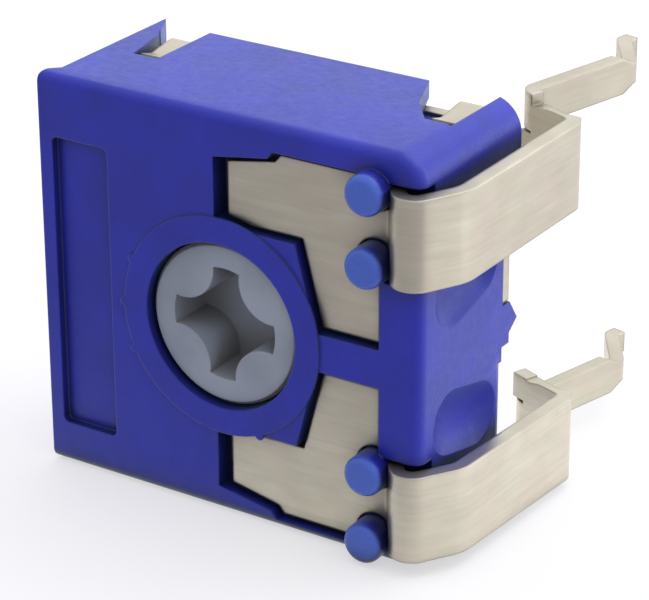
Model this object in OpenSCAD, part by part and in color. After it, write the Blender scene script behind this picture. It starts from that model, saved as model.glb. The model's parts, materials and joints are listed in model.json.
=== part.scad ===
// Single-turn carbon trimmer potentiometer, 14 mm class, in millimetres.
// It stands on its lower side face: X runs towards the end terminals, Y runs from the
// adjustment face to the solder pins, Z is up. The origin is the middle of the underside.

/* [Housing] */
// Width of the adjustment face
body_w = 14.5; // [14:0.1:16]
// Height of the housing
body_h = 14; // [13.7:0.1:15]
// Depth of the housing, face to back
body_d = 6; // [5.8:0.1:7]
// Height of the rotor axis above the underside
axis_z = 6.7; // [6.6:0.05:7.1]
// Sideways offset of the rotor axis from the middle of the face
axis_x = -0.2; // [-0.4:0.05:0.2]
// Thickness of the front wall
front_wall = 1.5; // [1.3:0.05:1.8]
// Thickness of the top, bottom and left walls
side_wall = 0.6; // [0.5:0.05:0.8]
// Radius of the moulded edges round the adjustment face
edge_r = 0.4; // [0.2:0.05:0.6]
// Radius of the two corners on the terminal side
corner_r = 1.1; // [0.8:0.05:1.4]
// Overhang of the front plate past the left wall
lip = 0.5; // [0.2:0.05:0.6]
// Height of the stand-off pips behind the back face
pip_h = 0.4; // [0.2:0.05:0.6]
// Depth of the finger grooves in the right wall
groove_d = 0.45; // [0.3:0.05:0.5]
// Height of a finger groove, measured on the wall
groove_h = 2.2; // [1.8:0.1:2.4]
// Length of a finger groove, measured on the wall
groove_l = 3.9; // [3:0.1:4.1]

/* [Panel and dial] */
// Width of the sunk panel
panel_w = 2.2; // [1.8:0.1:2.6]
// Length of the sunk panel
panel_l = 10.3; // [8:0.1:11]
// Depth of the sunk panel
panel_depth = 0.3; // [0.1:0.05:0.5]
// Distance of the sunk panel from the left edge
panel_edge = 0.5; // [0.4:0.05:0.8]
// Width of the raised dial ring
dial_w = 0.9; // [0.5:0.05:1.1]
// Height of the raised dial ring
dial_h = 0.07; // [0.05:0.01:0.2]
// Radius of a dial mark
mark_r = 0.16; // [0.1:0.01:0.22]

/* [Rotor] */
// Radius of the rotor face
rotor_r = 2.8; // [2.5:0.05:3]
// Radial running clearance of the rotor in its bore
run_gap = 0.08; // [0.04:0.01:0.1]
// Depth of the rotor face below the adjustment face
rotor_sunk = 0.2; // [0:0.05:0.4]
// Radius of the rotor flange inside the housing
flange_r = 3.4; // [3.25:0.05:3.55]
// Thickness of the rotor flange
flange_t = 2.3; // [2:0.05:2.5]
// Tip-to-centre length of the screwdriver recess
cross_r = 1.95; // [1.6:0.05:2.1]
// Width of each arm of the recess at its tip
cross_tip = 1; // [0.8:0.05:1.2]
// Distance of the hollow between two arms from the centre
cross_root = 1.2; // [1:0.05:1.35]
// Depth of the screwdriver recess
cross_depth = 1.7; // [1:0.1:2]
// Radius of the rear pivot
pivot_r = 1.3; // [1:0.05:1.5]
// Mechanical travel of the rotor in degrees
travel = 265; // [220:5:280]

/* [Terminals] */
// Thickness of the tinned terminal sheet
sheet_t = 0.5; // [0.4:0.05:0.6]
// Depth of the terminal plates below the adjustment face
plate_sunk = 0.25; // [0.1:0.05:0.4]
// Width of the curved strip
strip_w = 3; // [2.8:0.05:3.2]
// Height of the strip's middle from the rotor axis, in front
strip_c = 4.65; // [4.6:0.05:4.75]
// How far the strip drifts away from the rotor axis on its way back
strip_drift = 0.22; // [0:0.02:0.3]
// Gap between the right wall and the strip beside it
strip_gap = 0.55; // [0.4:0.05:1]
// How far the strip reaches behind the back face before it bends in
strip_back = 2.1; // [1.5:0.1:3]
// Length of the inward bend between strip and pin
jog = 1.75; // [1:0.05:2]
// Angle of the inward bend in degrees
jog_turn = 70; // [55:1:80]
// Height of the upper pin above the rotor axis
pin_above = 6; // [5.5:0.05:6.1]
// Distance of the lower pin below the rotor axis
pin_below = 5.05; // [4.7:0.05:5.6]
// Width of the solder pins
pin_w = 1.25; // [1.1:0.05:1.5]
// Length of the straight part of the end pins
pin_l = 4.4; // [4:0.1:6]
// Outward lean of the end pins in degrees
pin_lean = 14; // [6:1:15]
// Width of the kinked pin tips
tip_w = 0.75; // [0.6:0.05:1]

/* [Staking pegs] */
// Radius of the pegs that hold the terminals
peg_r = 0.68; // [0.6:0.02:0.76]
// Height of the middle between two pegs from the rotor axis
peg_c = 4.75; // [4.7:0.05:4.8]
// Distance between the two pegs of one terminal
peg_pitch = 2.4; // [2.3:0.05:2.5]
// Distance of the pegs from the right edge
peg_edge = 1.75; // [1.6:0.05:2]
// How far the pegs stand proud of the adjustment face
peg_proud = 0.7; // [0.5:0.05:1]
// Radius of the softened rim of a peg
peg_dome = 0.25; // [0.1:0.05:0.3]
// Clearance between a peg and the sheet round it
peg_gap = 0.05; // [0.03:0.01:0.08]

/* [Element and collector] */
// Thickness of the laminate carrier
carrier_t = 0.8; // [0.6:0.05:1]
// Margin of the laminate carrier beside the track
carrier_rim = 0.25; // [0.15:0.05:0.3]
// Mean radius of the carbon track
track_r = 5.05; // [4.9:0.01:5.1]
// Width of the carbon track
track_w = 1; // [0.8:0.05:1.1]
// Thickness of the carbon track
track_t = 0.06; // [0.04:0.01:0.1]
// Thickness of the collector plate
collector_t = 0.45; // [0.35:0.05:0.5]
// Thickness of the wiper spring
wiper_t = 0.2; // [0.15:0.01:0.25]
// Distance that the collector plate is sunk below the back face
plate_inset = 0.5; // [0.4:0.05:0.6]

/* [Hidden] */
$fn = 48;
eps = 0.01;                              // overrun of cutting tools
fit_gap = 0.05;                          // clearance between pieces that locate each other
left = -body_w / 2;
right = body_w / 2;
front = -body_d / 2;
back = body_d / 2;
side = left + lip;                       // outer face of the left wall
peg_x = right - peg_edge;
sheet_y = front + plate_sunk + sheet_t / 2;      // mid-plane of the terminal plates
pocket_y = front + plate_sunk + sheet_t;         // floor of the terminal pockets
wall_y = front + front_wall;                     // inner face of the front wall
carrier_y = wall_y + carrier_t;                  // rear face of the laminate carrier
collector_back = back - plate_inset;
collector_y = collector_back - collector_t;      // front face of the collector plate
carrier_r = track_r + track_w / 2 + carrier_rim;
carrier_hole = track_r - track_w / 2 - carrier_rim;
cavity_r = carrier_r + fit_gap;
flange_y = wall_y + fit_gap;                     // front face of the rotor flange
seat_y = flange_y + flange_t;                    // rear face of the flange, the wiper's seat
hub_r = 1.8;                                     // hub that carries the wiper
tab_r = carrier_hole - 2 * fit_gap;              // reach of the stop tab
tab_half = 9;                                    // half angle of the stop tab
stop_half = (360 - travel) / 2 - tab_half - 0.5; // half angle of the stop block
key_w = 1;                                       // width of the carrier's key
plate_l = side + side_wall;                      // edges of the collector plate recess
plate_r = right - groove_d - side_wall;
plate_b = side_wall;
plate_t = body_h - side_wall;
tab_up = 0.65;                                   // height of the collector plate's tab
tab_b = axis_z + tab_up;                         // above the rotor axis, its lower edge and
tab_h = 1.9;                                     // its own height

// ---- frames --------------------------------------------------------------------------

// draws in a plane seen from the front: X stays, Y becomes Z, extruded backwards from y
module slab(y, depth) {
    translate([0, y + depth, 0]) rotate([90, 0, 0]) linear_extrude(depth) children();
}

// the same plane, centred on the rotor axis
module axis_slab(y, depth) {
    slab(y, depth) translate([axis_x, axis_z]) children();
}

// a cylinder about the rotor axis
module axis_disc(r, y, depth) {
    translate([axis_x, y, axis_z]) rotate([-90, 0, 0]) cylinder(r = r, h = depth);
}

// a slab of a plan view: profile in X and Y, extruded over a height
module plan(z, height) {
    translate([0, 0, z]) linear_extrude(height) children();
}

// a slab of a side view: profile in Y and Z, extruded over a width
module side_view(x, width) {
    translate([x, 0, 0]) rotate([90, 0, 90]) linear_extrude(width) children();
}

// copies for the two ends of the track: as drawn, and mirrored about the rotor axis
module both_ends() {
    children();
    translate([0, 0, 2 * axis_z]) mirror([0, 0, 1]) children();
}

// copies for the top and the bottom wall
module both_walls() {
    children();
    translate([0, 0, body_h]) mirror([0, 0, 1]) children();
}

// ---- plane shapes --------------------------------------------------------------------

module rounded(w, h, r) {
    translate([r, 0]) square([w - 2 * r, h]);
    translate([0, r]) square([w, h - 2 * r]);
    for (x = [r, w - r], y = [r, h - r]) translate([x, y]) circle(r);
}

// sector of a ring: half angle about the direction a
module sector(r_in, r_out, a, half) {
    reach = 1.01 * r_out / cos(half / 4);
    intersection() {
        difference() {
            circle(r_out);
            circle(r_in);
        }
        polygon([[0, 0], for (k = [-2:2]) reach * [cos(a + k * half / 2), sin(a + k * half / 2)]]);
    }
}

// cross with hollow sides: a disc, less one circle between each pair of arms
module cross_recess() {
    half = cross_tip / 2;
    far = sqrt(cross_r * cross_r - half * half);
    chord = (far - half) / sqrt(2);
    rise = (far + half) / sqrt(2) - cross_root;
    bite = (chord * chord + rise * rise) / (2 * rise);
    difference() {
        circle(cross_r);
        for (a = [45:90:315]) rotate(a) translate([cross_root + bite, 0]) circle(bite);
    }
}

// ---- bent sheet ----------------------------------------------------------------------

// A path is a list of steps: [length] runs straight and [turn, radius] bends, with left
// turns positive. stations() lists [x, y, heading] along the middle of the sheet.
bend_steps = 9;
function ahead(s, d) = [s[0] + d * cos(s[2]), s[1] + d * sin(s[2]), s[2]];
function bent(s, turn, r) = let(hand = sign(turn), cx = s[0] - hand * r * sin(s[2]),
    cy = s[1] + hand * r * cos(s[2]), a = s[2] + turn)
    [cx + hand * r * sin(a), cy - hand * r * cos(a), a];
function step_stations(s, step) = len(step) == 1 ? [ahead(s, step[0])]
    : [for (k = [1:bend_steps]) bent(s, step[0] * k / bend_steps, step[1])];
function last(list) = list[len(list) - 1];
function stations(s, steps, i = 0) = i == len(steps) ? [s]
    : let(next = step_stations(s, steps[i])) concat([s], stations_after(next, steps, i));
function stations_after(next, steps, i) = concat(
    [for (k = [0:1:len(next) - 2]) next[k]], stations(last(next), steps, i + 1));
function path_end(s, steps) = last(stations(s, steps));

// the edge-on outline of a sheet of thickness t that follows a path
module sheet_edge(start, steps, t) {
    line = stations(start, steps);
    polygon(concat(
        [for (s = line) [s[0] + t / 2 * sin(s[2]), s[1] - t / 2 * cos(s[2])]],
        [for (k = [len(line) - 1:-1:0]) let(s = line[k])
            [s[0] - t / 2 * sin(s[2]), s[1] + t / 2 * cos(s[2])]]));
}

// ---- housing -------------------------------------------------------------------------

// front outline with small left corners and full right corners
module face_outline() {
    rim = edge_r / 2;
    for (z = [rim, body_h - rim]) translate([left + rim, z]) circle(rim);
    for (z = [corner_r, body_h - corner_r]) translate([right - corner_r, z]) circle(corner_r);
    translate([left, rim]) square([body_w - corner_r, body_h - 2 * rim]);
    translate([left + rim, 0]) square([body_w - rim - corner_r, body_h]);
    translate([left, corner_r]) square([body_w, body_h - 2 * corner_r]);
}

// side outline: the two front edges are rounded
module side_outline() {
    for (z = [edge_r, body_h - edge_r]) translate([front + edge_r, z]) circle(edge_r);
    translate([front, edge_r]) square([body_d, body_h - 2 * edge_r]);
    translate([front + edge_r, 0]) square([body_d - edge_r, body_h]);
}

// plan outline: the front plate overhangs the left wall, the front right edge is rounded
module plan_outline() {
    lip_d = 1.4 * lip;
    rim = edge_r / 2;
    polygon([[left, front], [right - edge_r, front], [right - edge_r, back], [side, back],
             [side, front + lip_d], [left, front + rim]]);
    translate([right - edge_r, front + edge_r]) circle(edge_r);
    translate([right - 2 * edge_r, front + edge_r]) square([2 * edge_r, body_d - edge_r]);
}

// the two right corners, where the rounded front edge runs round the corner radius
module round_corners() {
    rim_x = right - corner_r;
    plan(0, body_h) translate([left, front]) square([rim_x - left, body_d]);
    plan(corner_r, body_h - 2 * corner_r) translate([left, front]) square([body_w, body_d]);
    for (z = [corner_r, body_h - corner_r])
        translate([rim_x, front, z]) rotate([-90, 0, 0]) rotate_extrude() {
            translate([0, edge_r]) square([corner_r, body_d - edge_r]);
            square([corner_r - edge_r, body_d]);
            translate([corner_r - edge_r, edge_r]) intersection() {
                circle(edge_r);
                translate([0, -edge_r]) square(edge_r);
            }
        }
}

module shell_block() {
    intersection() {
        slab(front, body_d) face_outline();
        side_view(left, body_w) side_outline();
        plan(0, body_h) plan_outline();
        round_corners();
    }
}

// Rivet at one end of the track: it joins the leg of the terminal to the carrier and track.
rivet_r = 0.42;
rivet_head = 0.62;
rivet_a = 22;                            // its place round the track
rivet_x = axis_x + track_r * cos(rivet_a);
rivet_c = track_r * sin(rivet_a);        // its height from the rotor axis, seen from the front

// Outline of one terminal plate, grown by g; heights are measured from the rotor axis. The
// pad lies left of the pegs, the leg covers the rivet and the strip leaves to the right.
pad_l = 5.5;                             // left edge of the pad from the pegs
pad_x = peg_x - pad_l;
pad_in = 3.65;                           // inner edge of the pad
pad_out = 6.25;                          // outer edge of the pad
pad_skew = 0.2;                          // how far the inner edge runs out at the left
pad_step = 1.8;                          // width of the pad's lowered part
pad_dip = 0.25;                          // step down to that part, and what its edge
pad_fall = 0.6;                          // has fallen by at the left
leg_side = 0.93;                         // left edge of the leg's tip from the rivet
leg_x = rivet_x - leg_side;
leg_flare = 0.75;                        // how much wider the leg is at the pad
leg_r = 0.1;                             // right edge of the leg from the pegs
leg_tip = 0.8;                           // end of the leg
strip_in = strip_c - strip_w / 2;        // inner and outer edge of the strip in front
strip_out = strip_c + strip_w / 2;
function plate_points(g, left_g, x_end) = [
    [pad_x - left_g, pad_in + pad_skew - g], [pad_x + pad_step / 2, pad_in - g],
    [leg_x - leg_flare - g, pad_in - g], [leg_x - g, leg_tip - g],
    [peg_x + leg_r + g, leg_tip - g], [peg_x + leg_r + g, strip_in - g],
    [x_end, strip_in - g], [x_end, strip_out + g],
    [peg_x - peg_r / 3, strip_out + g], [peg_x - peg_r, pad_out + g],
    [pad_x + pad_step + pad_skew - g, pad_out + g], [pad_x + pad_step - g, pad_out - pad_dip + g],
    [pad_x - left_g, pad_out - pad_fall + g]];

module plate_outline(g, left_g, x_end) {
    translate([0, axis_z]) polygon(plate_points(g, left_g, x_end));
}

module at_pegs(y) {
    for (s = [-1, 1])
        translate([peg_x, y, axis_z + peg_c + s * peg_pitch / 2]) rotate([-90, 0, 0]) children();
}

// pegs with softened rims
module staked_pegs() {
    tall = pocket_y - front + peg_proud;
    at_pegs(front - peg_proud) rotate_extrude($fn = 32) {
        translate([0, peg_dome]) square([peg_r, tall - peg_dome]);
        square([peg_r - peg_dome, tall]);
        intersection() {
            translate([peg_r - peg_dome, peg_dome]) circle(peg_dome, $fn = 24);
            square([peg_r, tall]);
        }
    }
}

// pocket for one terminal plate, open to the right where the strip leaves it
module terminal_pocket() {
    sheet_gap = 0.15;
    pad_gap = 0.4;
    slab(front - eps, pocket_y - front + eps) plate_outline(sheet_gap, pad_gap, body_w);
}

module rivet(r, y, depth) {
    translate([rivet_x, y, axis_z + rivet_c]) rotate([-90, 0, 0]) cylinder(r = r, h = depth);
}

// finger groove with round ends in the right wall, running away from the rotor axis
module groove() {
    groove_c = 2.4;
    groove_tilt = 14;
    groove_y = -0.25;
    half = groove_h / 2;
    r = (half * half + groove_d * groove_d) / (2 * groove_d);
    run = groove_l - groove_h;
    translate([right - groove_d + r, groove_y, axis_z + groove_c]) rotate([groove_tilt - 90, 0, 0])
        translate([0, 0, -run / 2]) {
            cylinder(r = r, h = run);
            for (end = [0, run]) translate([0, 0, end]) sphere(r);
        }
}

// notches through the top and bottom walls, narrow in front and flared towards the back:
// [right side, width and distance from the back at the knee, width at the back]
notch_l = 3;                             // depth of a notch from the back face
notch_w = 0.95;                          // width at its front end
notch_wall = 0.75;                       // height of a notch
notches = [[left + 2.6, 1.35, 1, 2.1], [right - 0.8, 1.85, 1.85, 2.6]];
ear_w = notch_w - 2 * fit_gap;           // width of the ear that lies in a notch
ear_root = 1;                            // height over which an ear grows out of its plate
module ear_notches() {
    for (n = notches) {
        plan(body_h - notch_wall, notch_wall + eps)
            polygon([[n[0], back - notch_l], [n[0], back + eps], [n[0] - n[3], back + eps],
                     [n[0] - n[1], back - n[2]], [n[0] - notch_w, back - notch_l]]);
        plan(plate_t - ear_root - fit_gap, body_h)
            translate([n[0] - notch_w, collector_y]) square([notch_w, body_d]);
    }
}

// pointed stand-off fin at a left corner
module fin() {
    fin_h = 1.2;
    fin_l = 0.75;
    plan(body_h - fin_h, fin_h)
        polygon([[side, back - fin_l], [side + side_wall, back - fin_l], [side, back + pip_h]]);
}

module dial() {
    marks = [155, 180, 205, 293];
    rim = rotor_r + run_gap + dial_w;
    axis_slab(front - dial_h, dial_h + eps) difference() {
        union() {
            circle(rim);
            for (a = marks) rotate(a) translate([rim, 0]) circle(mark_r);
        }
        circle(rotor_r + run_gap);
    }
}

// right wall: set back between the two bars, with a gate for the tab, a pip below it and
// a chamfered edge beside each groove
module right_rim() {
    rim_b = 1.2;
    relief_h = 0.5;
    pip_w = 1.45;
    pip_b = tab_b - fit_gap - pip_w;
    chamfer_x = 0.35;
    chamfer_y = 0.75;
    tab_top = tab_b + tab_h + 2 * fit_gap;
    difference() {
        union() {
            side_view(plate_r, body_w) translate([collector_back, rim_b])
                square([body_d, plate_t - 2 * rim_b]);
            for (b = [[tab_b - fit_gap, tab_h + 2 * fit_gap], [pip_b - relief_h, relief_h]])
                side_view(plate_r - eps, body_w) translate([collector_y, b[0]])
                    square([body_d, b[1]]);
        }
        side_view(0, right) polygon([
            [collector_y - eps, pip_b], [back, pip_b + pip_w / 2], [collector_back, pip_b + pip_w],
            [collector_y - eps, pip_b + pip_w]]);
    }
    for (b = [[rim_b, pip_b - relief_h], [tab_top + relief_h, plate_t - rim_b]])
        plan(b[0], b[1] - b[0])
            polygon([[right - chamfer_x, collector_back + eps], [right - chamfer_x, collector_back],
                     [right, collector_back - chamfer_y], [body_w, collector_back - chamfer_y],
                     [body_w, collector_back + eps]]);
}

module housing() {
    color([0.16, 0.19, 0.62]) {
        difference() {
            shell_block();
            // sunk panel
            slab(front - eps, panel_depth + eps)
                translate([left + panel_edge, axis_z - panel_l / 2])
                    rounded(panel_w, panel_l, edge_r / 2);
            // rotor bore and the cavity behind it
            axis_disc(rotor_r + run_gap, front - eps, front_wall + 2 * eps);
            axis_disc(cavity_r, wall_y, body_d);
            both_ends() {
                terminal_pocket();
                groove();
                rivet(rivet_r + fit_gap, pocket_y - eps, wall_y - pocket_y + 2 * eps);
            }
            both_walls() ear_notches();
            // recess for the collector plate
            translate([plate_l, collector_y, plate_b])
                cube([plate_r - plate_l, body_d, plate_t - plate_b]);
            right_rim();
        }
        dial();
        both_ends() staked_pegs();
        both_walls() fin();
        // stop block in the gap of the track, with the key of the carrier
        axis_slab(wall_y - eps, carrier_t + eps) {
            sector(flange_r + run_gap, tab_r, 0, stop_half);
            translate([tab_r - 2 * eps, -key_w / 2]) square([cavity_r - tab_r + 4 * eps, key_w]);
        }
    }
}

// ---- rotor and wiper -----------------------------------------------------------------

module rotor() {
    face_y = front + rotor_sunk;
    bevel = 0.12;
    set_angle = -3;
    color([0.62, 0.63, 0.68]) difference() {
        union() {
            // face with its bevelled rim
            translate([axis_x, face_y, axis_z]) rotate([-90, 0, 0]) {
                cylinder(r1 = rotor_r - bevel, r2 = rotor_r, h = bevel);
                translate([0, 0, bevel]) cylinder(r = rotor_r, h = flange_y - face_y);
            }
            axis_disc(flange_r, flange_y, flange_t);
            axis_disc(hub_r, seat_y - eps, collector_y - fit_gap - seat_y + eps);
            axis_disc(pivot_r, seat_y, collector_back - seat_y);
            // stop tab, opposite the gap of the track
            axis_slab(flange_y, carrier_y - flange_y) sector(flange_r - run_gap, tab_r, 180, tab_half);
        }
        axis_slab(face_y - eps, cross_depth + eps) rotate(set_angle) cross_recess();
    }
}

// pair of fingers bent from the wiper ring to flat contact pads at radius r_pad, height y
module fingers(a, r_pad, y) {
    tilt = 60;
    r = 0.28;
    pad = 0.6;
    finger_w = 0.5;
    split = 0.25;
    root = hub_r + finger_w;
    seat = seat_y + wiper_t / 2;
    hand = sign(y - seat);
    slope = (abs(y - seat) - 2 * r * (1 - cos(tilt))) / sin(tilt);
    level = r_pad - pad / 2 - slope * cos(tilt) - 2 * r * sin(tilt) - root;
    translate([axis_x, 0, axis_z]) rotate([0, -a, 0])
        for (z = [split / 2, -split / 2 - finger_w])
            plan(z, finger_w) sheet_edge([root, seat, 0],
                [[level], [hand * tilt, r], [slope], [-hand * tilt, r], [pad]], wiper_t);
}

module wiper() {
    ring_in = 0.2;                       // margin of the flange round the ring
    collect_out = 0.35;                  // how far the rear pads reach past the flange
    color([0.78, 0.66, 0.42]) {
        axis_slab(seat_y, wiper_t) difference() {
            circle(flange_r - ring_in);
            circle(hub_r + fit_gap);
        }
        fingers(180, track_r, carrier_y + track_t + fit_gap + wiper_t / 2);
        fingers(0, flange_r + collect_out, collector_y - fit_gap - wiper_t / 2);
    }
}

// ---- resistive element ---------------------------------------------------------------

module carrier() {
    color([0.45, 0.25, 0.12]) difference() {
        axis_slab(wall_y, carrier_t) difference() {
            circle(carrier_r);
            circle(carrier_hole);
            translate([0, -key_w / 2 - fit_gap]) square([body_w, key_w + 2 * fit_gap]);
        }
        both_ends() rivet(rivet_r + fit_gap, wall_y - eps, carrier_t + 2 * eps);
    }
}

module carbon_track() {
    color([0.08, 0.08, 0.09]) difference() {
        union() {
            axis_slab(carrier_y, track_t)
                sector(track_r - track_w / 2, track_r + track_w / 2, 180, 180 - rivet_a);
            both_ends() rivet(rivet_head + fit_gap, carrier_y, track_t);
        }
        both_ends() rivet(rivet_r + fit_gap, carrier_y - eps, track_t + 2 * eps);
    }
}

// ---- terminals -----------------------------------------------------------------------

// The strip rises out of its pocket beside the pegs, slopes round the front edge, runs back
// beside the housing and bends in. The pin carries on from there and ends in a kinked tip.
rise = 55;
fall = 60;
splay = 2;                               // outward lean of the strip
corner = 0.45;                           // bend radius at the rear of the strip
flat_l = 0.3;                            // how far the flat plate runs past the pegs
bend_x = peg_x + flat_l;
front_r = 0.5;
lift = 0.5;
side_r = 1.2;
crest_x = bend_x + 2 * front_r * sin(rise) + lift * cos(rise) + front_r * sin(fall);
strip_x = right + strip_gap + sheet_t / 2;
slope = (strip_x - side_r * (cos(splay) - sin(fall)) - crest_x) / cos(fall);
front_steps = [[-rise, front_r], [lift], [rise + fall, front_r], [slope],
               [90 - splay - fall, side_r]];
strip_start = [bend_x, sheet_y, 0];
strip_end = back + strip_back;           // rear of the strip
run = strip_end - corner - sheet_t / 2 - path_end(strip_start, front_steps)[1];
shoulder = 0.1;                          // part of the jog that already has the pin's width
ledge = 0.45;                            // how far the inner part of the jog runs past the pin
strip_steps = concat(front_steps, [[run], [jog_turn, corner], [jog - shoulder]]);
jog_end = path_end(strip_start, strip_steps);
pin_turn = 90 - pin_lean - jog_end[2];
pin_steps = [[shoulder], [pin_turn, corner], [pin_l]];
pin_end = path_end(jog_end, pin_steps);
tip_turn = 47;                           // kink of the pin tip, its bend radius and length
tip_r = 0.3;
tip_l = 1.9;
function tip_steps(turn) = [[turn, tip_r], [tip_l], [-turn, tip_r], [tip_r]];

// side outline of the strip about its middle: it drifts outwards along the housing and is
// rounded where it turns in
module strip_outline() {
    half = strip_w / 2;
    cut = 0.15;
    polygon(concat(
        [for (p = [[front - body_d, 0, half], [front, 0, half], [strip_end - 2 * cut, 1, half],
                   [strip_end - cut, 1, half - cut / 4], [strip_end, 1, half - cut],
                   [strip_end + body_d, 1, half - cut], [strip_end + body_d, 1, cut - half],
                   [strip_end, 1, cut - half], [strip_end - cut, 1, cut / 4 - half],
                   [strip_end - 2 * cut, 1, -half], [front, 0, -half],
                   [front - body_d, 0, -half]]) [p[0], p[1] * strip_drift + p[2]]]));
}

// side outline of a pin that narrows to its tip, about the height 0
module pin_outline(y_end) {
    taper = 0.45;
    translate([0, -pin_w / 2]) square([y_end - taper, pin_w]);
    translate([0, -tip_w / 2]) square([y_end + body_d, tip_w]);
    polygon([[y_end - taper - eps, -pin_w / 2], [y_end, -tip_w / 2], [y_end, tip_w / 2],
             [y_end - taper - eps, pin_w / 2]]);
}

module upper_sheet(pin_z) {
    difference() {
        union() {
            slab(front + plate_sunk, sheet_t) plate_outline(0, 0, bend_x);
            translate([0, 0, axis_z + strip_c]) intersection() {
                plan(-strip_w / 2, strip_w + strip_drift)
                    sheet_edge(strip_start, strip_steps, sheet_t);
                side_view(0, body_w) strip_outline();
            }
        }
        at_pegs(front - body_d / 2) cylinder(r = peg_r + peg_gap, h = body_d);
    }
    ledge_b = strip_in + strip_drift + shoulder;
    ledge_t = pin_z - pin_w / 2 - shoulder;
    plan(axis_z + ledge_b, ledge_t - ledge_b)
        sheet_edge(ahead(jog_end, -shoulder), [[2 * shoulder + ledge]], sheet_t);
    translate([0, 0, axis_z + pin_z]) intersection() {
        plan(-pin_w / 2, pin_w) sheet_edge(jog_end, concat(pin_steps, tip_steps(tip_turn)), sheet_t);
        side_view(0, body_w) pin_outline(pin_end[1]);
    }
    rivet(rivet_r, pocket_y - eps, carrier_y + track_t - pocket_y + 2 * eps);
    rivet(rivet_head, carrier_y + track_t, rivet_r / 2);
}

module upper_terminal() {
    color([0.78, 0.77, 0.72]) upper_sheet(pin_above);
}

module lower_terminal() {
    color([0.78, 0.77, 0.72]) translate([0, 0, 2 * axis_z]) mirror([0, 0, 1])
        upper_sheet(pin_below);
}

// ---- collector plate -----------------------------------------------------------------

// ear bent forward over the edge of the plate into its notch, with a raised tip
module ear(x) {
    reach = 1;
    sag = 8;
    r = collector_t / 2 + fit_gap;
    lift = body_h - notch_wall - plate_t + ear_root + 2 * fit_gap + reach * sin(sag) / 2;
    side_view(x - fit_gap - ear_w, ear_w)
        sheet_edge([collector_y + collector_t / 2, plate_t - ear_root, 90],
                   [[lift], [90 + sag, r], [reach], [-3 * sag, 2 * r], [reach / 2]], collector_t);
}

module collector_plate() {
    mid = collector_y + collector_t / 2;
    r = collector_t / 2 + 3 * fit_gap;
    gap = fit_gap;
    x_l = plate_l + gap;
    bend_l = x_l + collector_t / 2 + r;  // where the wiper pin starts to bend
    slit = 0.4;                          // width of the slits beside the pin's root
    wiper_pin = concat([[-90, r], [pin_end[1] - mid - r]], tip_steps(-tip_turn));
    color([0.75, 0.74, 0.68]) {
        slab(collector_y, collector_t) difference() {
            union() {
                translate([x_l, plate_b + gap])
                    square([plate_r - x_l - gap, plate_t - plate_b - 2 * gap]);
                translate([0, tab_b]) square([right - gap, tab_h]);
            }
            translate([axis_x, axis_z]) circle(pivot_r + run_gap);
            translate([left, axis_z - pin_w / 2 - slit])
                square([bend_l - left, pin_w + 2 * slit]);
        }
        both_walls() for (n = notches) ear(n[0]);
        // wiper pin, bent back from the left edge, with a tip that kinks towards the others
        intersection() {
            plan(axis_z - pin_w / 2, pin_w)
                sheet_edge([bend_l, mid, 180], wiper_pin, collector_t);
            translate([0, 0, axis_z]) side_view(left, body_w) pin_outline(pin_end[1]);
        }
    }
}

housing();
rotor();
wiper();
carrier();
carbon_track();
upper_terminal();
lower_terminal();
collector_plate();
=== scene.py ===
"""Dresses the trimmer potentiometer: smooth moulded plastic, formed tinned terminals, the
inner parts, and a pale studio round them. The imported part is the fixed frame."""

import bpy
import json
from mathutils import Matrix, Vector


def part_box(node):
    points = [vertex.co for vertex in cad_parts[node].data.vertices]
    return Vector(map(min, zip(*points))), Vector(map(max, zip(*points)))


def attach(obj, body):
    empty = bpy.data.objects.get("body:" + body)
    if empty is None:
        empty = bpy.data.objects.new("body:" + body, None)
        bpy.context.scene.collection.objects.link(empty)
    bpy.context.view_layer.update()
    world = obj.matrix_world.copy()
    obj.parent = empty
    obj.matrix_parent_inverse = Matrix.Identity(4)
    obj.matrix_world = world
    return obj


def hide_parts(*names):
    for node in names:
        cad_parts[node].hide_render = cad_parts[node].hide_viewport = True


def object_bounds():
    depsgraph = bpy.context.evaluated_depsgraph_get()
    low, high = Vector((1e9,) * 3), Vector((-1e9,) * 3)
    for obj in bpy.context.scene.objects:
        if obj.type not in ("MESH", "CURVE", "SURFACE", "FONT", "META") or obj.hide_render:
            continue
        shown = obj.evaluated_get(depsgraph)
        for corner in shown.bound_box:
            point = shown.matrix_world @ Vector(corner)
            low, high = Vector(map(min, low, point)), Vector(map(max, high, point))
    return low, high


bl_info = {
    "name": "Trimmer potentiometer",
    "version": (1, 0, 0),
    "blender": (4, 5, 0),
    "location": "3D View > Sidebar > Trimmer",
    "description": "Plastics, tinned sheet and studio for a carbon trimmer potentiometer",
    "category": "Object",
}

import json
import math

import bmesh
import bpy
from mathutils import Vector

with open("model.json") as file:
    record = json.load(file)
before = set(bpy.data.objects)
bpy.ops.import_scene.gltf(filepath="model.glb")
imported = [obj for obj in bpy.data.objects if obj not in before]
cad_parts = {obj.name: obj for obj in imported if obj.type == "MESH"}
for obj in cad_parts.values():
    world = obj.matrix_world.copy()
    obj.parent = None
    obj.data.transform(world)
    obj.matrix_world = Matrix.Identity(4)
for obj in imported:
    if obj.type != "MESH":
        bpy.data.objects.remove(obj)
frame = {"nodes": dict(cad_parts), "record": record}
CAD_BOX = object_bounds()
MM = 0.001

# finish of the pieces, in millimetres
WELD = 0.002
PLASTIC_GRAIN_DEPTH = 0.03
SHEET_GRAIN_DEPTH = 0.03
INNER_GRAIN_DEPTH = 0.01
INNER_EDGE = 0.03
MELTED_LENGTH = 0.35
# an edge that bends by more than this stays crisp
CREASE = math.radians(32)
# softness of the sheet's edges, as a share of the plastic's
SHEET_EDGE_SHARE = 1.4

# size of the floor, and how far it lies under the part, in metres
FLOOR_SIZE = 3.0
FLOOR_DROP = 0.01 * MM
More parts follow.
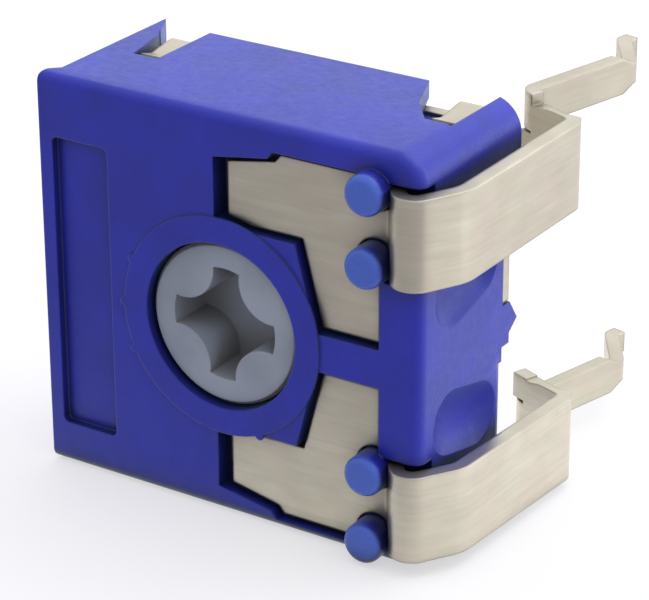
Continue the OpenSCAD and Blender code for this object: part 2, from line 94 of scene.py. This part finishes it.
# name, place from the middle of the part and width in metres, share of the lamp power
LAMPS = (
    ("Key lamp", (0.06, 0.05, 0.14), 0.14, 1.0),
    ("Side lamp", (0.05, 0.045, 0.01), 0.04, 0.06),
)
# the camera, in metres and degrees
CAMERA_PLACE = (0.04859, -0.07183, 0.04592)
CAMERA_TURN = (65.567, 0.181, 32.996)
# the direction from which the room is brightest, and the colour of its light
BRIGHT_WAY = (0.3, 0.8, 0.5)
ROOM_TINT = (0.97, 0.98, 1, 1)
# glow of the paper floor where it is seen as white, and of its painted reflection in gloss
PAPER_GLOW = 0.56
# painted reflection: share of white that a gloss sees in the room, and in the paper in front, near
# by and far off
ROOM_PAINTED_REFLECTION = 0.3
FRONT_PAINTED_REFLECTION = 0.06
PAPER_PAINTED_REFLECTION = 1.35
FAR_PAINTED_REFLECTION = 0.85
# where the painted reflection of white paper rises in front and falls behind, in millimetres along
# Y
FRONT_RAMP = (-13.0, -1.0)
FAR_RAMP = (8.0, 22.0)


# ---- node trees ------------------------------------------------------------------------


class Graph:
    """Builds one node tree; put() adds a node and sets or links its sockets."""

    def __init__(self, tree):
        self.tree = tree
        tree.nodes.clear()

    def put(self, kind, sockets=None, **settings):
        node = self.tree.nodes.new(kind)
        for name, value in settings.items():
            setattr(node, name, value)
        for key, value in (sockets or {}).items():
            self.feed(node.inputs[key], value)
        return node

    def feed(self, socket, value):
        if isinstance(value, bpy.types.NodeSocket):
            self.tree.links.new(value, socket)
        else:
            socket.default_value = value

    def math(self, operation, *values, clamp=False):
        sockets = dict(enumerate(values))
        return self.put("ShaderNodeMath", sockets, operation=operation, use_clamp=clamp).outputs[0]

    def remap(self, value, low, high, to_low=0.0, to_high=1.0):
        sockets = {"Value": value, "From Min": low, "From Max": high}
        sockets.update({"To Min": to_low, "To Max": to_high})
        return self.put("ShaderNodeMapRange", sockets, clamp=True).outputs["Result"]

    def mix(self, factor, first, second, blend="MIX"):
        node = self.put("ShaderNodeMix", data_type="RGBA", blend_type=blend, clamp_result=True)
        # a Mix node keeps its colours in inputs 6 and 7 and its mixed colour in output 2
        for key, value in ((0, factor), (6, first), (7, second)):
            self.feed(node.inputs[key], value)
        return node.outputs[2]

    def noise(self, place, scale, detail=2.0, roughness=0.5):
        sockets = {"Vector": place, "Scale": scale, "Detail": detail, "Roughness": roughness}
        return self.put("ShaderNodeTexNoise", sockets).outputs["Fac"]


def start_group(name, inputs, outputs):
    """A new shader group with named sockets: its Graph, its input and its output node."""
    tree = bpy.data.node_groups.new(name, "ShaderNodeTree")
    graph = Graph(tree)
    for label, (kind, default) in inputs.items():
        kind = "NodeSocket" + kind
        socket = tree.interface.new_socket(name=label, in_out="INPUT", socket_type=kind)
        socket.default_value = default
    for label, kind in outputs.items():
        tree.interface.new_socket(name=label, in_out="OUTPUT", socket_type="NodeSocket" + kind)
    return graph, graph.put("NodeGroupInput").outputs, graph.put("NodeGroupOutput").inputs


def millimetres(graph):
    """Position on the part in millimetres, in the part's own frame."""
    place = graph.put("ShaderNodeTexCoord").outputs["Object"]
    sockets = {0: place, "Scale": 1000.0}
    return graph.put("ShaderNodeVectorMath", sockets, operation="SCALE").outputs[0]


def rounded_edges_group():
    """Softens edges by a radius in millimetres; gives masks of the edges and of deep corners, where
    painted shade goes.
    """
    inputs = {"Radius": ("Float", 0.08), "Reach": ("Float", 0.8)}
    graph, given, made = start_group(
        "Rounded edges", inputs, {"Normal": "Vector", "Edge": "Float", "Corner": "Float"}
    )
    radius = graph.math("MULTIPLY", given["Radius"], MM)
    soft = graph.put("ShaderNodeBevel", {"Radius": radius}, samples=8).outputs["Normal"]
    flat = graph.put("ShaderNodeNewGeometry").outputs["Normal"]
    turn = graph.put("ShaderNodeVectorMath", {0: soft, 1: flat}, operation="DOT_PRODUCT")
    graph.feed(made["Normal"], soft)
    graph.feed(made["Edge"], graph.remap(turn.outputs["Value"], 0.99, 0.75))
    reach = graph.math("MULTIPLY", given["Reach"], MM)
    # corner mask: where little room is open nearby, for painted shade in gaps and recesses
    sky = graph.put("ShaderNodeAmbientOcclusion", {"Distance": reach}, samples=12)
    graph.feed(made["Corner"], graph.remap(sky.outputs["AO"], 0.92, 0.42))
    return graph.tree


def moulded_plastic_group():
    """Dyed plastic from a mould: cloudy dye, fine mould grain, paler edges that are partly rubbed
    and partly a painted highlight, painted shade in deep corners and painted highlights on melted
    peg tops.
    """
    inputs = {
        "Colour": ("Color", (0.5, 0.5, 0.5, 1)),
        "Scuff and highlight": ("Color", (0.7, 0.7, 0.7, 1)),
        "Shade": ("Color", (0.1, 0.1, 0.1, 1)),
        "Edge": ("Float", 0.0),
        "Corner": ("Float", 0.0),
        "Gloss": ("Float", 0.35),
        "Grain": ("Float", 14.0),
        "Melt from": ("Float", -100.0),
        # colour of the melted peg tops, paler as a painted highlight on their domes
        "Melt": ("Color", (0.7, 0.7, 0.7, 1)),
    }
    graph, given, made = start_group(
        "Moulded plastic", inputs, {"Colour": "Color", "Roughness": "Float", "Height": "Float"}
    )
    place = millimetres(graph)
    cloud = graph.noise(place, scale=0.45, detail=3.0)
    speck = graph.noise(place, scale=9.0)
    grain = graph.noise(place, scale=given["Grain"], detail=3.0, roughness=0.6)
    wear = graph.noise(place, scale=3.2, detail=4.0, roughness=0.65)
    # the dye runs a little lighter and darker along the flow
    deep = graph.mix(1.0, given["Colour"], (0.8, 0.8, 0.82, 1), "MULTIPLY")
    dyed = graph.mix(graph.remap(cloud, 0.35, 0.62), deep, given["Colour"])
    dyed = graph.mix(graph.remap(speck, 0.62, 0.8, 0.0, 0.12), dyed, given["Scuff and highlight"])
    # paler edges: partly rubbed wear, partly a painted highlight along the softened edges
    rubbed_and_highlit = graph.math("MULTIPLY", given["Edge"], graph.remap(wear, 0.42, 0.68, 0.05, 0.4))
    rubbed_and_highlit_dye = graph.mix(rubbed_and_highlit, dyed, given["Scuff and highlight"])
    # plastic in front of a plane was melted over: smoother, and painted paler as a highlight on the
    # domed peg tops
    depth = graph.put("ShaderNodeSeparateXYZ", {"Vector": place}).outputs["Y"]
    ahead = graph.math("SUBTRACT", given["Melt from"], depth)
    melt_and_highlight = graph.remap(ahead, 0.0, 0.3)
    open_dye = graph.mix(melt_and_highlight, rubbed_and_highlit_dye, given["Melt"])
    # painted shade: the Shade colour is laid into deep corners, gaps and recesses
    graph.feed(made["Colour"], graph.mix(given["Corner"], open_dye, given["Shade"]))
    rough = graph.math("ADD", given["Gloss"], graph.remap(wear, 0.3, 0.7, -0.05, 0.1))
    rough = graph.math("MULTIPLY_ADD", melt_and_highlight, -0.08, rough)
    rough = graph.math("ADD", rough, graph.math("MULTIPLY", rubbed_and_highlit, 0.25), clamp=True)
    graph.feed(made["Roughness"], rough)
    relief = graph.math("MULTIPLY_ADD", grain, 0.35, graph.math("MULTIPLY", cloud, 0.65))
    graph.feed(made["Height"], relief)
    return graph.tree


def tinned_sheet_group():
    """Tinned sheet metal: cloudy tin, rolling lines, dull smears and thin, worn edges, with painted
    shade in its corners.
    """
    inputs = {
        "Bright": ("Color", (0.8, 0.8, 0.75, 1)),
        "Dull": ("Color", (0.5, 0.48, 0.42, 1)),
        "Worn": ("Color", (0.55, 0.45, 0.36, 1)),
        "Edge": ("Float", 0.0),
        "Corner": ("Float", 0.0),
        "Polish": ("Float", 0.3),
    }
    graph, given, made = start_group(
        "Tinned sheet", inputs, {"Colour": "Color", "Roughness": "Float", "Height": "Float"}
    )
    place = millimetres(graph)
    drawn = {"Vector": place, "Scale": (0.4, 0.4, 1.1)}
    rolled = {"Vector": place, "Scale": (0.25, 0.25, 8.0)}
    along = graph.put("ShaderNodeMapping", drawn).outputs[0]
    across = graph.put("ShaderNodeMapping", rolled).outputs[0]
    cloud = graph.noise(place, scale=0.35, detail=1.0)
    smear = graph.noise(along, scale=1.6)
    lines = graph.noise(across, scale=1.0, detail=3.0, roughness=0.65)
    pits = graph.noise(place, scale=14.0, detail=3.0, roughness=0.7)
    # tin dulls in soft patches that are drawn out along the strip
    dull = graph.math(
        "MULTIPLY_ADD", graph.remap(smear, 0.3, 0.75), 0.34, graph.remap(cloud, 0.3, 0.7, 0.0, 0.34)
    )
    tone = graph.mix(dull, given["Bright"], given["Dull"])
    # a faint warm or cool cast where the tin is thicker or thinner
    thickness = graph.noise(place, scale=0.6, detail=1.0)
    warm, cool = (1, 0.975, 0.96, 1), (0.98, 1, 0.96, 1)
    cast = graph.mix(graph.remap(thickness, 0.4, 0.6), warm, cool)
    tone = graph.mix(1.0, tone, cast, "MULTIPLY")
    tone = graph.mix(graph.remap(lines, 0.4, 0.7, 0.0, 0.3), tone, given["Dull"])
    tone = graph.mix(graph.remap(pits, 0.62, 0.74, 0.0, 0.2), tone, given["Dull"])
    worn = graph.math("MULTIPLY", given["Edge"], graph.remap(smear, 0.35, 0.6, 0.25, 0.6))
    tone = graph.mix(worn, tone, given["Worn"])
    # painted shade: a dark colour laid into the sheet's corners and gaps, near pegs and walls
    painted_corner_shade = graph.mix(1.0, given["Dull"], (0.22, 0.2, 0.18, 1), "MULTIPLY")
    graph.feed(made["Colour"], graph.mix(graph.math("MULTIPLY", given["Corner"], 0.7), tone, painted_corner_shade))
    rough = graph.math("MULTIPLY_ADD", dull, 0.18, given["Polish"])
    rough = graph.math("MULTIPLY_ADD", graph.remap(lines, 0.4, 0.7), 0.08, rough)
    graph.feed(made["Roughness"], graph.math("MULTIPLY_ADD", pits, 0.06, rough, clamp=True))
    relief = graph.math("MULTIPLY_ADD", lines, 0.14, graph.math("MULTIPLY", smear, 0.35))
    graph.feed(made["Height"], graph.math("MULTIPLY_ADD", pits, 0.06, relief))
    return graph.tree


GROUPS = {}


def group(name):
    makers = {
        "Rounded edges": rounded_edges_group,
        "Moulded plastic": moulded_plastic_group,
        "Tinned sheet": tinned_sheet_group,
    }
    if name not in GROUPS:
        GROUPS[name] = makers[name]()
    return GROUPS[name]


def surface(name, skin, sockets, radius, bump, reach=0.8, **shader):
    """A material: one skin group, soft edges and a bump in millimetres, on its own shader."""
    material = bpy.data.materials.new(name)
    material.use_nodes = True
    graph = Graph(material.node_tree)
    edges = graph.put("ShaderNodeGroup", node_tree=group("Rounded edges"))
    edges.inputs["Radius"].default_value = radius
    edges.inputs["Reach"].default_value = reach
    coat = graph.put("ShaderNodeGroup", node_tree=group(skin))
    for key, value in sockets.items():
        coat.inputs[key].default_value = value
    for mask in ("Edge", "Corner"):
        graph.feed(coat.inputs[mask], edges.outputs[mask])
    relief = graph.put("ShaderNodeBump", {"Strength": 1.0, "Distance": bump * MM})
    graph.feed(relief.inputs["Height"], coat.outputs["Height"])
    graph.feed(relief.inputs["Normal"], edges.outputs["Normal"])
    body = graph.put("ShaderNodeBsdfPrincipled")
    for key, value in shader.items():
        body.inputs[key.replace("_", " ")].default_value = value
    graph.feed(body.inputs["Base Color"], coat.outputs["Colour"])
    graph.feed(body.inputs["Roughness"], coat.outputs["Roughness"])
    graph.feed(body.inputs["Normal"], relief.outputs["Normal"])
    graph.put("ShaderNodeOutputMaterial", {"Surface": body.outputs["BSDF"]})
    return material


# ---- pieces ----------------------------------------------------------------------------


def finish_tree():
    """Welds a mesh, smooths its bends, keeps its creases and gives it its material."""
    tree = bpy.data.node_groups.new("Piece finish", "GeometryNodeTree")
    graph = Graph(tree)
    inputs = {"Geometry": "Geometry", "Weld": "Float", "Crease": "Float", "Material": "Material"}
    for name, kind in inputs.items():
        tree.interface.new_socket(name=name, in_out="INPUT", socket_type="NodeSocket" + kind)
    tree.interface.new_socket(
        name="Geometry", in_out="OUTPUT", socket_type="NodeSocketGeometry"
    )
    given = graph.put("NodeGroupInput").outputs
    loose = {"Geometry": given["Geometry"], "Distance": given["Weld"]}
    welded = graph.put("GeometryNodeMergeByDistance", loose).outputs[0]
    angle = graph.put("GeometryNodeInputMeshEdgeAngle").outputs["Unsigned Angle"]
    bend = {0: angle, 1: given["Crease"]}
    soft = graph.put("FunctionNodeCompare", bend, operation="LESS_THAN").outputs[0]
    rounded = {"Geometry": welded, "Shade Smooth": True}
    faces = graph.put("GeometryNodeSetShadeSmooth", rounded).outputs[0]
    creased = {"Geometry": faces, "Shade Smooth": soft}
    edges = graph.put("GeometryNodeSetShadeSmooth", creased, domain="EDGE").outputs[0]
    placed = graph.put("GeometryNodeRealizeInstances", {"Geometry": edges}).outputs[0]
    skinned = {"Geometry": placed, "Material": given["Material"]}
    dressed = graph.put("GeometryNodeSetMaterial", skinned)
    graph.put("NodeGroupOutput", {"Geometry": dressed.outputs[0]})
    return tree


def body_of_node(node):
    """The body that holds a node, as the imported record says."""
    for body, members in frame["record"]["behaviour"]["bodies"].items():
        if node in members:
            return body
    raise RuntimeError(f"no body holds {node}")


def smooth_copy(node, name, material):
    """A welded copy of a solid, with smooth bends and crisp creases, that stands for it."""
    source = frame["nodes"][node]
    body = body_of_node(node)
    raw = bpy.data.objects.new(name, source.data.copy())
    bpy.context.scene.collection.objects.link(raw)
    finish = raw.modifiers.new("Finish", "NODES")
    finish.node_group = bpy.data.node_groups.get("Piece finish") or finish_tree()
    values = {"Weld": WELD * MM, "Crease": CREASE, "Material": material}
    for socket in finish.node_group.interface.items_tree:
        if socket.in_out == "INPUT" and socket.name in values:
            finish[socket.identifier] = values[socket.name]
    bpy.context.view_layer.update()
    seen = raw.evaluated_get(bpy.context.evaluated_depsgraph_get())
    mesh = bpy.data.meshes.new_from_object(seen)
    bpy.data.objects.remove(raw)
    mesh.name = name
    piece = bpy.data.objects.new(name, mesh)
    bpy.context.scene.collection.objects.link(piece)
    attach(piece, body)
    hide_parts(node)


# ---- settings --------------------------------------------------------------------------


def colour(name, text, default):
    return bpy.props.FloatVectorProperty(
        name=name, description=text, subtype="COLOR", size=4, min=0, max=1, default=default
    )


class TrimmerFinish(bpy.types.PropertyGroup):
    """Colours and finish of the trimmer's plastics and metals."""

    housing: colour("Housing", "Dye of the moulded housing", (0.023, 0.024, 0.54, 1))
    # paler edges of the housing: rubbed wear and a painted edge highlight
    housing_scuff_and_highlight: colour(
        "Housing scuffs", "Paler rubbed edges of the housing", (0.08, 0.13, 0.6, 1)
    )
    # painted shade laid into the housing's deep corners and gaps
    housing_painted_shade: colour(
        "Housing corners", "Deep corners and gaps of the housing", (0.006, 0.006, 0.09, 1)
    )
    # painted highlight: the paler colour of the melted, domed peg tops
    peg_top_highlight: colour("Staked pegs", "Melted tops of the pegs", (0.08, 0.16, 0.75, 1))
    rotor: colour("Rotor", "Dye of the rotor", (0.445, 0.495, 0.6, 1))
    # paler edges of the rotor: rubbed wear and a painted edge highlight
    rotor_scuff_and_highlight: colour("Rotor scuffs", "Paler rubbed edges of the rotor", (0.5, 0.53, 0.6, 1))
    # painted shade laid into the rotor's recess
    rotor_painted_shade: colour(
        "Rotor corners", "Deep corners of the rotor's recess", (0.26, 0.26, 0.27, 1)
    )
    tin: colour("Tin", "Bright tin on the terminals", (0.715, 0.665, 0.56, 1))
    tin_dull: colour("Dull tin", "Handled and oxidised tin", (0.5, 0.465, 0.38, 1))
    tin_worn: colour("Worn edges", "Thin tin along the cut edges", (0.46, 0.39, 0.32, 1))
    edge: bpy.props.FloatProperty(
        name="Edge softness",
        description="Radius of the softened edges, in millimetres",
        default=0.09,
        min=0.01,
        max=0.3,
    )


class TrimmerStudio(bpy.types.PropertyGroup):
    """Floor, lamps and camera."""

    backdrop: colour("Backdrop", "Colour of the floor and background", (0.465, 0.455, 0.48, 1))
    lamp_power: bpy.props.FloatProperty(
        name="Lamp power", description="Power of the main lamp", default=0.048, min=0, unit="POWER"
    )
    dim: bpy.props.FloatProperty(
        name="Dim side",
        description="Strength of the room light from the front",
        default=0.19,
        min=0,
    )
    bright: bpy.props.FloatProperty(
        name="Bright side",
        description="Strength of the room light from behind and above",
        default=1.28,
        min=0,
    )
    lens: bpy.props.FloatProperty(
        name="Lens",
        description="Focal length of the camera in millimetres",
        default=161.47,
        min=20,
        max=400,
    )


# ---- operators -------------------------------------------------------------------------


class TRIMMER_OT_housing(bpy.types.Operator):
    """Make the moulded housing"""

    bl_idname = "trimmer.housing"
    bl_label = "Housing"

    def execute(self, context):
        finish = context.scene.trimmer_finish
        peg_tops = 1000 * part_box("housing")[0].y + MELTED_LENGTH
        sockets = {
            "Colour": finish.housing,
            "Scuff and highlight": finish.housing_scuff_and_highlight,
            "Gloss": 0.34,
            "Grain": 12.0,
            "Melt from": peg_tops,
            "Melt": finish.peg_top_highlight,
            "Shade": finish.housing_painted_shade,
        }
        shader = {
            "IOR": 1.56,
            "Specular_Tint": (0.85, 1, 0.95, 1),
            "Sheen_Weight": 0.13,
            "Sheen_Roughness": 0.4,
            "Sheen_Tint": (0.4, 1, 0.6, 1),
        }
        look = ("Blue moulded plastic", "Moulded plastic", sockets)
        plastic = surface(*look, finish.edge, PLASTIC_GRAIN_DEPTH, reach=1.1, **shader)
        smooth_copy("housing", "moulded_housing", plastic)
        return {"FINISHED"}


class TRIMMER_OT_rotor(bpy.types.Operator):
    """Make the rotor with its screwdriver recess"""

    bl_idname = "trimmer.rotor"
    bl_label = "Rotor"

    def execute(self, context):
        finish = context.scene.trimmer_finish
        sockets = {
            "Colour": finish.rotor,
            "Scuff and highlight": finish.rotor_scuff_and_highlight,
            "Shade": finish.rotor_painted_shade,
            "Gloss": 0.45,
            "Grain": 16.0,
        }
        look = ("Grey moulded plastic", "Moulded plastic", sockets)
        plastic = surface(*look, finish.edge, PLASTIC_GRAIN_DEPTH, reach=1.5, IOR=1.5)
        smooth_copy("rotor", "grey_rotor", plastic)
        return {"FINISHED"}


class TRIMMER_OT_terminals(bpy.types.Operator):
    """Make the two formed end terminals and the collector plate"""

    bl_idname = "trimmer.terminals"
    bl_label = "Terminals"

    def execute(self, context):
        finish = context.scene.trimmer_finish
        sockets = {
            "Bright": finish.tin,
            "Dull": finish.tin_dull,
            "Worn": finish.tin_worn,
            "Polish": 0.24,
        }
        look = ("Tinned sheet", "Tinned sheet", sockets)
        edge = SHEET_EDGE_SHARE * finish.edge
        tin = surface(*look, edge, SHEET_GRAIN_DEPTH, reach=1.1, Metallic=0.88)
        for node in ("upper_terminal", "lower_terminal", "collector_plate"):
            smooth_copy(node, "formed_" + node, tin)
        return {"FINISHED"}


class TRIMMER_OT_inner_parts(bpy.types.Operator):
    """Make the carrier, its carbon track and the wiper inside the housing"""

    bl_idname = "trimmer.inner_parts"
    bl_label = "Inner parts"

    def execute(self, context):
        laminate = {
            "Colour": (0.16, 0.06, 0.02, 1),
            "Scuff and highlight": (0.3, 0.16, 0.08, 1),
            "Shade": (0.05, 0.02, 0.01, 1),
            "Gloss": 0.5,
            "Grain": 6.0,
        }
        carbon = {
            "Colour": (0.01, 0.01, 0.011, 1),
            "Scuff and highlight": (0.05, 0.05, 0.055, 1),
            "Shade": (0.005, 0.005, 0.005, 1),
            "Gloss": 0.6,
            "Grain": 20.0,
        }
        alloy = {
            "Bright": (0.8, 0.62, 0.32, 1),
            "Dull": (0.5, 0.34, 0.16, 1),
            "Worn": (0.6, 0.42, 0.2, 1),
            "Polish": 0.25,
        }
        finest = (INNER_EDGE, INNER_GRAIN_DEPTH)
        board = surface("Laminate", "Moulded plastic", laminate, *finest, IOR=1.5)
        smooth_copy("carrier", "laminate_carrier", board)
        ink = surface("Carbon ink", "Moulded plastic", carbon, *finest, IOR=1.45)
        smooth_copy("carbon_track", "printed_track", ink)
        spring = surface("Spring alloy", "Tinned sheet", alloy, *finest, Metallic=1.0)
        smooth_copy("wiper", "wiper_spring", spring)
        return {"FINISHED"}


class TRIMMER_OT_stage(bpy.types.Operator):
    """Make the floor, the lamps, the world and the camera"""

    bl_idname = "trimmer.stage"
    bl_label = "Stage"

    def execute(self, context):
        studio = context.scene.trimmer_studio
        self.floor(context, studio)
        self.world(context, studio)
        low, high = CAD_BOX
        middle = (low + high) / 2
        for name, away, width, share in LAMPS:
            power = share * studio.lamp_power
            self.lamp(context, name, middle + Vector(away), middle, width, power)
        self.camera(context, studio)
        context.scene.view_settings.view_transform = "Standard"
        return {"FINISHED"}

    @staticmethod
    def seen_white(graph, painted_reflection_share):
        """1 for camera rays, and a share of it, a painted reflection of white, for rays that a
        gloss or glass sends out.
        """
        path = graph.put("ShaderNodeLightPath").outputs
        thrown = graph.math("MAXIMUM", path["Is Glossy Ray"], path["Is Transmission Ray"])
        shared = graph.math("MULTIPLY", thrown, painted_reflection_share)
        return graph.math("MAXIMUM", path["Is Camera Ray"], shared)

    def floor(self, context, studio):
        mesh = bpy.data.meshes.new("Floor")
        build = bmesh.new()
        bmesh.ops.create_grid(build, x_segments=1, y_segments=1, size=FLOOR_SIZE)
        bmesh.ops.translate(build, vec=(0, 0, -FLOOR_DROP), verts=build.verts)
        build.to_mesh(mesh)
        build.free()
        material = bpy.data.materials.new("Paper")
        material.use_nodes = True
        graph = Graph(material.node_tree)
        # painted reflection: the paper glows white for gloss rays beside and behind the part, less
        # in front and far off, so the metal sees it
        behind = graph.put("ShaderNodeSeparateXYZ", {"Vector": millimetres(graph)}).outputs["Y"]
        front_painted_reflection = graph.remap(behind, *FRONT_RAMP, FRONT_PAINTED_REFLECTION, PAPER_PAINTED_REFLECTION)
        far_painted_reflection = graph.remap(behind, *FAR_RAMP, PAPER_PAINTED_REFLECTION, FAR_PAINTED_REFLECTION)
        painted_reflection_share = graph.math("MINIMUM", front_painted_reflection, far_painted_reflection)
        seen = self.seen_white(graph, painted_reflection_share)
        paper = graph.put(
            "ShaderNodeBsdfPrincipled",
            {
                "Base Color": studio.backdrop,
                "Roughness": 0.9,
                "Emission Color": (1, 1, 1, 1),
                "Emission Strength": graph.math("MULTIPLY", seen, PAPER_GLOW),
            },
        )
        graph.put("ShaderNodeOutputMaterial", {"Surface": paper.outputs["BSDF"]})
        mesh.materials.append(material)
        floor = bpy.data.objects.new("Floor", mesh)
        context.scene.collection.objects.link(floor)

    def world(self, context, studio):
        world = bpy.data.worlds.new("Studio")
        context.scene.world = world
        world.use_nodes = True
        graph = Graph(world.node_tree)
        # the room is bright behind and above the part, and dimmer in front of it
        towards = graph.put("ShaderNodeTexCoord").outputs["Generated"]
        sides = {0: towards, 1: Vector(BRIGHT_WAY).normalized()}
        lean = graph.put("ShaderNodeVectorMath", sides, operation="DOT_PRODUCT").outputs["Value"]
        strength = graph.remap(lean, -1.0, 1.0, studio.dim, studio.bright)
        room = graph.put("ShaderNodeBackground", {"Color": ROOM_TINT, "Strength": strength})
        white = graph.put("ShaderNodeBackground", {"Color": (1, 1, 1, 1), "Strength": 1.0})
        # painted reflection: gloss sees a share of plain white in the room besides its light
        seen = self.seen_white(graph, ROOM_PAINTED_REFLECTION)
        layers = {0: seen, 1: room.outputs[0], 2: white.outputs[0]}
        both = graph.put("ShaderNodeMixShader", layers)
        graph.put("ShaderNodeOutputWorld", {"Surface": both.outputs[0]})

    def lamp(self, context, name, place, aim, size, power):
        data = bpy.data.lights.new(name, "AREA")
        data.energy, data.size, data.shape = power, size, "DISK"
        lamp = bpy.data.objects.new(name, data)
        lamp.location = place
        lamp.rotation_euler = (aim - place).to_track_quat("-Z", "Y").to_euler()
        context.scene.collection.objects.link(lamp)

    def camera(self, context, studio):
        data = bpy.data.cameras.new("Camera")
        data.lens, data.sensor_width = studio.lens, 36.0
        data.clip_start, data.clip_end = 0.005, 10.0
        camera = bpy.data.objects.new("Camera", data)
        camera.location = CAMERA_PLACE
        camera.rotation_euler = [math.radians(turn) for turn in CAMERA_TURN]
        context.scene.collection.objects.link(camera)
        context.scene.camera = camera


class TRIMMER_PT_panel(bpy.types.Panel):
    """Trimmer potentiometer"""

    bl_label = "Trimmer"
    bl_idname = "TRIMMER_PT_panel"
    bl_space_type = "VIEW_3D"
    bl_region_type = "UI"
    bl_category = "Trimmer"

    def draw(self, context):
        layout = self.layout
        for settings in (context.scene.trimmer_finish, context.scene.trimmer_studio):
            for name in settings.__annotations__:
                layout.prop(settings, name)
        for operator in OPERATORS:
            layout.operator(operator.bl_idname)


SETTINGS = (TrimmerFinish, TrimmerStudio)
OPERATORS = (
    TRIMMER_OT_housing,
    TRIMMER_OT_rotor,
    TRIMMER_OT_terminals,
    TRIMMER_OT_inner_parts,
    TRIMMER_OT_stage,
)


def register():
    for each in (*SETTINGS, *OPERATORS, TRIMMER_PT_panel):
        bpy.utils.register_class(each)
    bpy.types.Scene.trimmer_finish = bpy.props.PointerProperty(type=TrimmerFinish)
    bpy.types.Scene.trimmer_studio = bpy.props.PointerProperty(type=TrimmerStudio)


def unregister():
    del bpy.types.Scene.trimmer_finish
    del bpy.types.Scene.trimmer_studio
    for each in reversed((*SETTINGS, *OPERATORS, TRIMMER_PT_panel)):
        bpy.utils.unregister_class(each)


def main():
    register()
    bpy.ops.trimmer.housing()
    bpy.ops.trimmer.rotor()
    bpy.ops.trimmer.terminals()
    bpy.ops.trimmer.inner_parts()
    bpy.ops.trimmer.stage()


if __name__ == "__main__":
    main()
